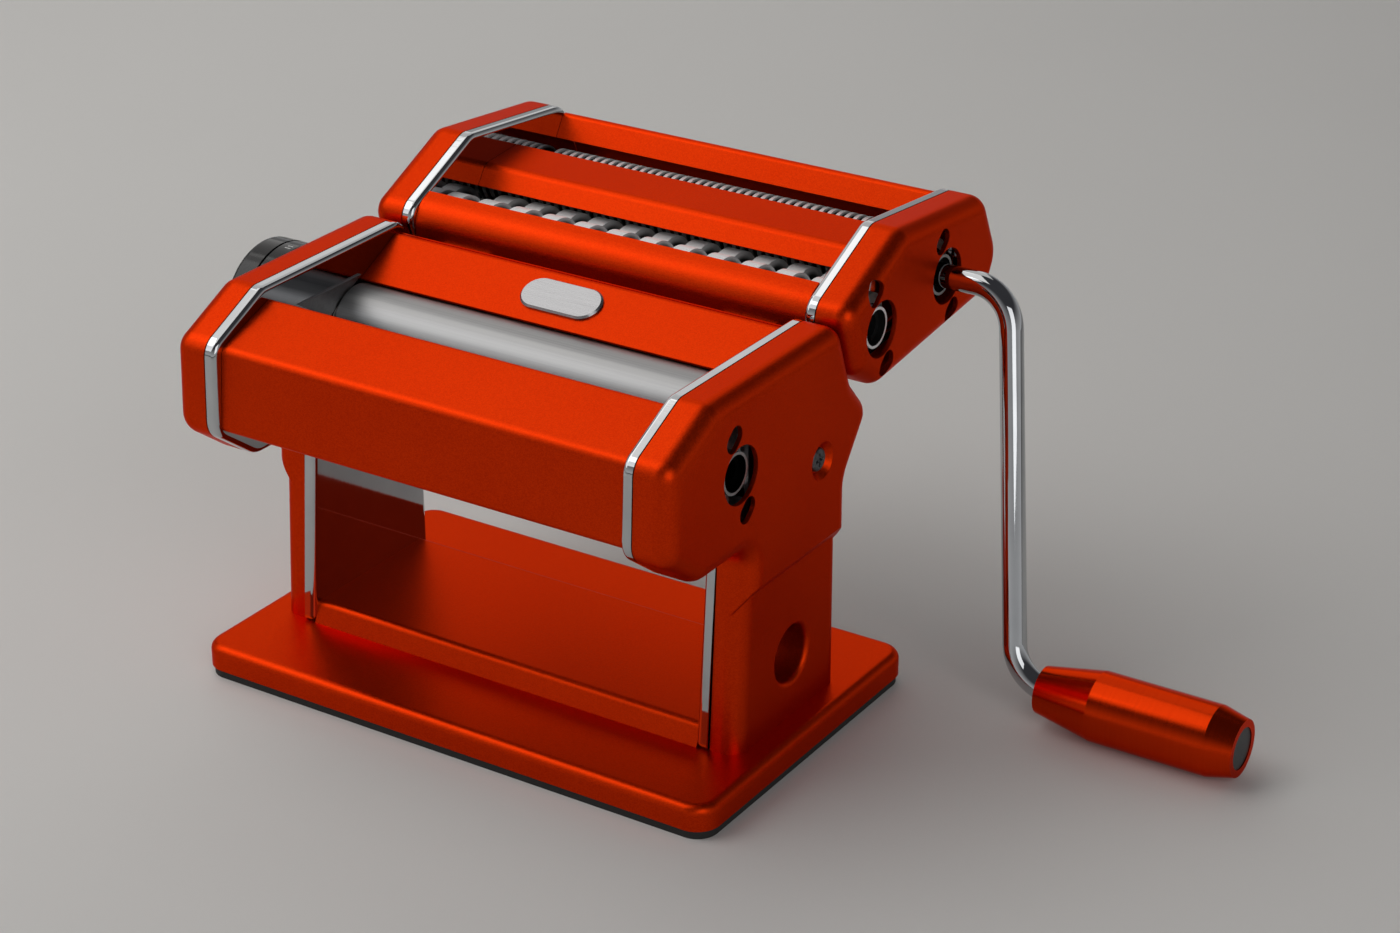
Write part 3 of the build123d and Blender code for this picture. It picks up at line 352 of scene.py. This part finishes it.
def surface_piece(name, grids, body, finish):
    """Smooth mesh piece from grids of points, each shaped (rows, columns, 3)."""
    places, faces, first = [], [], 0
    for grid in grids:
        places.append(grid.reshape(-1, 3))
        faces.append(grid_faces(*grid.shape[:2], first))
        first += len(places[-1])
    mesh = bpy.data.meshes.new(name)
    mesh.from_pydata(np.vstack(places).tolist(), [], np.vstack(faces).tolist())
    mesh.polygons.foreach_set("use_smooth", np.ones(len(mesh.polygons), bool))
    mesh.materials.append(finish)
    mesh.update()
    piece = bpy.data.objects.new(name, mesh)
    bpy.context.scene.collection.objects.link(piece)
    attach(piece, body)
    return piece


# Cover screws
HEAD_T = 0.0013             # height of the screw head
HEAD_POINTS = 81            # along each side of the head's grid
SHANK_R = 0.0015
SHANK_L = 0.0068
SHANK_POINTS = 25           # round the shank
DOME_START = 0.7            # share of the radius where the head's edge starts to fall
CROSS_W = 0.00055           # half width of an arm of the cross
CROSS_L = 0.0023            # half length of an arm
CROSS_D = 0.0008
CROSS_SOFT = 0.00015        # width of the recess's sloping edge


def cross_screw(sign, box):
    """Head and shank of one screw, sign -1 on the left.

    The head is a height over a disc (square grid u, v drawn in to y = R u sqrt(1 - v^2 / 2), z likewise):
    h = T sqrt(1 - k^2), k rising from 0 to 1 over the outer 30 % of the radius, less D within the cross.
    Its underside and the shank are a profile of (x, r) turned round the axis: y = r cos a, z = r sin a.
    """
    low, high = box
    radius = (high.y - low.y) / 2
    middle = np.array([(low.y + high.y) / 2, (low.z + high.z) / 2])
    floor = high.x - HEAD_T
    span = np.linspace(-1, 1, HEAD_POINTS)
    u, v = np.meshgrid(span, span, indexing="ij")
    y, z = radius * u * np.sqrt(1 - v * v / 2), radius * v * np.sqrt(1 - u * u / 2)
    k = np.clip((np.hypot(y, z) / radius - DOME_START) / (1 - DOME_START), 0, 1)
    arms = [np.clip((CROSS_W - abs(a)) / CROSS_SOFT, 0, 1) * np.clip((CROSS_L - abs(b)) / CROSS_SOFT, 0, 1)
            for a, b in ((y, z), (z, y))]
    x = floor + HEAD_T * np.sqrt(1 - k * k) - CROSS_D * np.maximum(*arms)
    head = np.stack([sign * x, middle[0] + y, middle[1] + z], axis=-1)
    turn = np.linspace(0, 2 * np.pi, SHANK_POINTS)
    along = np.array([floor, floor, floor - SHANK_L, floor - SHANK_L])
    reach = np.array([radius, SHANK_R, SHANK_R, 0])
    shank = np.stack([sign * np.repeat(along[:, None], SHANK_POINTS, axis=1),
                      middle[0] + np.outer(reach, np.cos(turn)),
                      middle[1] + np.outer(reach, np.sin(turn))], axis=-1)
    return [grid if sign > 0 else grid[:, ::-1] for grid in (head, shank)]


screw_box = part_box("cover_screws")
screws = surface_piece("cross_head_screws", cross_screw(1, screw_box) + cross_screw(-1, screw_box),
                       "machine_body", dark_screw())
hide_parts("cover_screws")

# Setting marks on the knob's skirt
MARK_ANGLES = (91.6, 95.4)      # degrees round the knob
MARK_SPAN = (0.0026, 0.0048)    # from the knob's back face
MARK_TURN = 1.1                 # width of a mark in degrees
MARK_LIFT = 0.00003


def skirt_mark(angle):
    """Small patch on the knob's cylinder: y = r cos a, z = r sin a, with a within one mark's width."""
    low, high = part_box("gap_knob")
    reach = (high.y - low.y) / 2 + MARK_LIFT
    turn = np.radians(np.linspace(angle - MARK_TURN / 2, angle + MARK_TURN / 2, 5))
    along = np.linspace(high.x - MARK_SPAN[0], high.x - MARK_SPAN[1], 4)
    x, a = np.meshgrid(along, turn, indexing="ij")
    return np.stack([x,
                     (low.y + high.y) / 2 + reach * np.cos(a),
                     (low.z + high.z) / 2 + reach * np.sin(a)], axis=-1)


surface_piece("knob_skirt_marks", [skirt_mark(angle) for angle in MARK_ANGLES],
              "gap_knob_body", dial_paint())

# Floor
FLOOR_HALF = 6.0
FLOOR_POINTS = 25
line = np.linspace(-FLOOR_HALF, FLOOR_HALF, FLOOR_POINTS)
floor_x, floor_y = np.meshgrid(line, line)
floor_places = np.stack([floor_x, floor_y, 0 * floor_x], axis=-1).reshape(-1, 3)
floor_mesh = bpy.data.meshes.new("floor")
floor_mesh.from_pydata(floor_places.tolist(), [], grid_faces(FLOOR_POINTS, FLOOR_POINTS).tolist())
floor_mesh.materials.append(pale_floor())
floor = bpy.data.objects.new("floor", floor_mesh)
bpy.context.scene.collection.objects.link(floor)


# Light
MIDDLE = (0.03, 0.03, 0.08)     # what the lamps face
WARM = (1.0, 0.98, 0.95)
NEUTRAL = (1, 1, 1)


def softbox(name, place, size, watts, colour):
    """Square area lamp at a place, facing the machine's middle."""
    lamp = bpy.data.lights.new(name, "AREA")
    lamp.shape = "SQUARE"
    lamp.size = size
    lamp.energy = watts
    lamp.color = colour
    holder = bpy.data.objects.new(name, lamp)
    holder.location = place
    holder.rotation_euler = (Vector(MIDDLE) - Vector(place)).to_track_quat("-Z", "Y").to_euler()
    bpy.context.scene.collection.objects.link(holder)


softbox("back_left_softbox", (-0.78, 0.95, 1.15), 1.5, 5.0, WARM)
softbox("top_left_softbox", (-0.72, -0.2, 1.40), 1.3, 6.2, WARM)
softbox("front_right_softbox", (1.1, -0.75, 0.75), 0.9, 3.5, NEUTRAL)
softbox("front_left_softbox", (-0.95, -0.65, 1.0), 1.2, 5.2, NEUTRAL)

# Surrounding: bright at the horizon, dark overhead
HORIZON = (0.55, 0.55, 0.55, 1)
OVERHEAD = (0.05, 0.05, 0.055, 1)
OVERHEAD_START = 0.62
world = bpy.data.worlds.new("studio")
bpy.context.scene.world = world
world.use_nodes = True
sky = world.node_tree
toward = sky.nodes.new("ShaderNodeTexCoord")
split = sky.nodes.new("ShaderNodeSeparateXYZ")
shade = sky.nodes.new("ShaderNodeValToRGB")
low_end, high_end = shade.color_ramp.elements
low_end.position, low_end.color = 0.0, HORIZON
high_end.position, high_end.color = OVERHEAD_START, OVERHEAD
sky.links.new(toward.outputs["Generated"], split.inputs[0])
sky.links.new(split.outputs["Z"], shade.inputs[0])
sky.links.new(shade.outputs[0], sky.nodes["Background"].inputs["Color"])

# Camera at the photo's viewing angle
CAMERA_DOWN = 25.39         # degrees below level
CAMERA_ROUND = 32.68        # degrees from straight ahead towards the right
view = bpy.data.cameras.new("camera")
view.lens = 79.15
view.sensor_width = 36.0
view.clip_start = 0.01
view.clip_end = 50.0
camera = bpy.data.objects.new("camera", view)
camera.location = (0.52285, -0.7257, 0.50021)
camera.rotation_euler = (radians(90 - CAMERA_DOWN), 0, radians(CAMERA_ROUND))
bpy.context.scene.collection.objects.link(camera)
bpy.context.scene.camera = camera
bpy.context.scene.view_settings.view_transform = "Standard"
